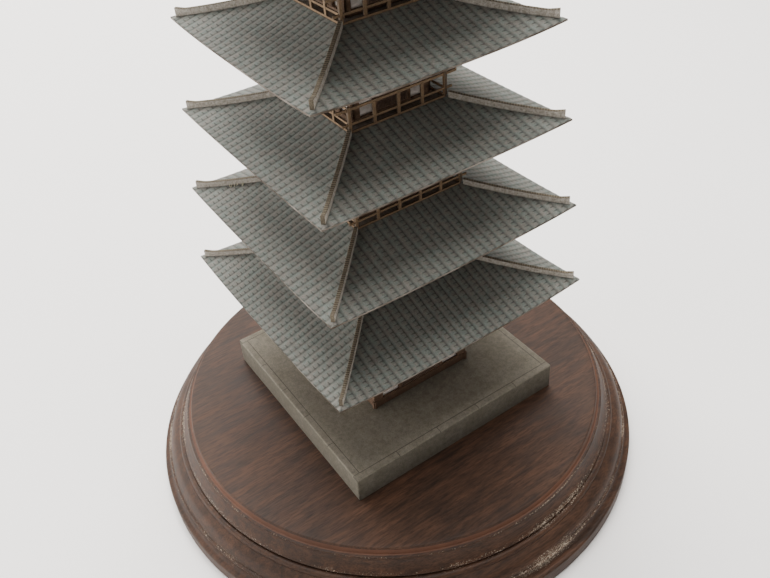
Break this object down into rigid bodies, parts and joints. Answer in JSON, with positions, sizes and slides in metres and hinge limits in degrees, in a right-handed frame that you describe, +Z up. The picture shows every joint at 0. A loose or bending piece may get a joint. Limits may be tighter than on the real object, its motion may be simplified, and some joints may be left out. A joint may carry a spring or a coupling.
{
  "type": "pagoda model",
  "caption": "Storeyed pagoda model with stacked tiled roofs on a square podium and a turned round wooden stand.",
  "frame": {"origin": "centre of the stand's flat underside", "axes": "+Z up; the four faces of the tower look along +X, -X, +Y and -Y"},
  "size_m": [0.1806, 0.1806, 0.2829],
  "materials": {
    "turned_wood": "dark stained and lightly polished, worn pale on its edges",
    "podium_card": "matt grey-brown card with an engraved border",
    "plaster_card": "matt off-white",
    "timber_card": "matt dark brown, laser cut",
    "tile_card": "matt grey with a green-blue cast, printed in tile rows",
    "ridge_card": "matt grey-brown with dark cut edges",
    "rail_card": "matt tan brown, laser cut",
    "mast_metal": "dark bronze, satin"
  },
  "bodies": {
    "root": {"stand": "turned_wood", "podium": "podium_card", "walls_1": "plaster_card", "timber_frame_1": "timber_card", "bracket_tier_1": "timber_card", "eaves_board_1": "timber_card", "roof_1": "tile_card", "hip_ridges_1": "ridge_card", "walls_2": "plaster_card", "timber_frame_2": "timber_card", "bracket_tier_2": "timber_card", "eaves_board_2": "timber_card", "roof_2": "tile_card", "hip_ridges_2": "ridge_card", "balustrade_2": "rail_card", "walls_3": "plaster_card", "timber_frame_3": "timber_card", "bracket_tier_3": "timber_card", "eaves_board_3": "timber_card", "roof_3": "tile_card", "hip_ridges_3": "ridge_card", "balustrade_3": "rail_card", "walls_4": "plaster_card", "timber_frame_4": "timber_card", "bracket_tier_4": "timber_card", "eaves_board_4": "timber_card", "roof_4": "tile_card", "hip_ridges_4": "ridge_card", "balustrade_4": "rail_card", "walls_5": "plaster_card", "timber_frame_5": "timber_card", "bracket_tier_5": "timber_card", "eaves_board_5": "timber_card", "roof_5": "tile_card", "hip_ridges_5": "ridge_card", "balustrade_5": "rail_card", "dew_basin": "mast_metal", "inverted_bowl": "mast_metal", "ringed_mast": "mast_metal", "water_flame": "mast_metal", "jewel": "mast_metal"}
  },
  "joints": []
}
